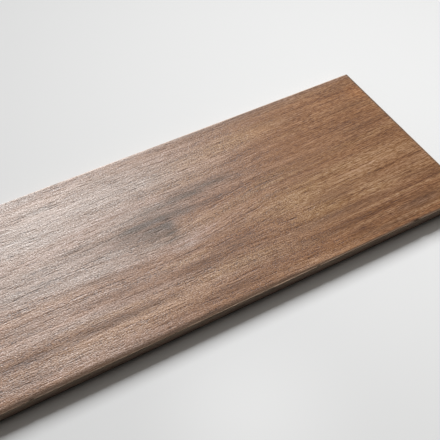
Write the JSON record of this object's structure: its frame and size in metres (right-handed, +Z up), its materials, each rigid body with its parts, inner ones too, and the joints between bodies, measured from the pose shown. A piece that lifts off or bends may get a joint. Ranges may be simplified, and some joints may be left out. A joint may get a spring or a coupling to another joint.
{
  "type": "wood look porcelain plank tile",
  "caption": "Long flat porcelain floor plank with a printed wood-grain face, soft cushioned edges and a shallow ribbed back that keys into adhesive.",
  "frame": {"origin": "centre of the underside, on the plane of the back's ribs", "axes": "+X along the length and the printed grain, +Y across the width, +Z up out of the printed face"},
  "size_m": [1.2, 0.2, 0.01],
  "materials": {
    "wood_print_porcelain": "satin"
  },
  "bodies": {
    "root": {"plank_tile": "wood_print_porcelain"}
  },
  "joints": []
}
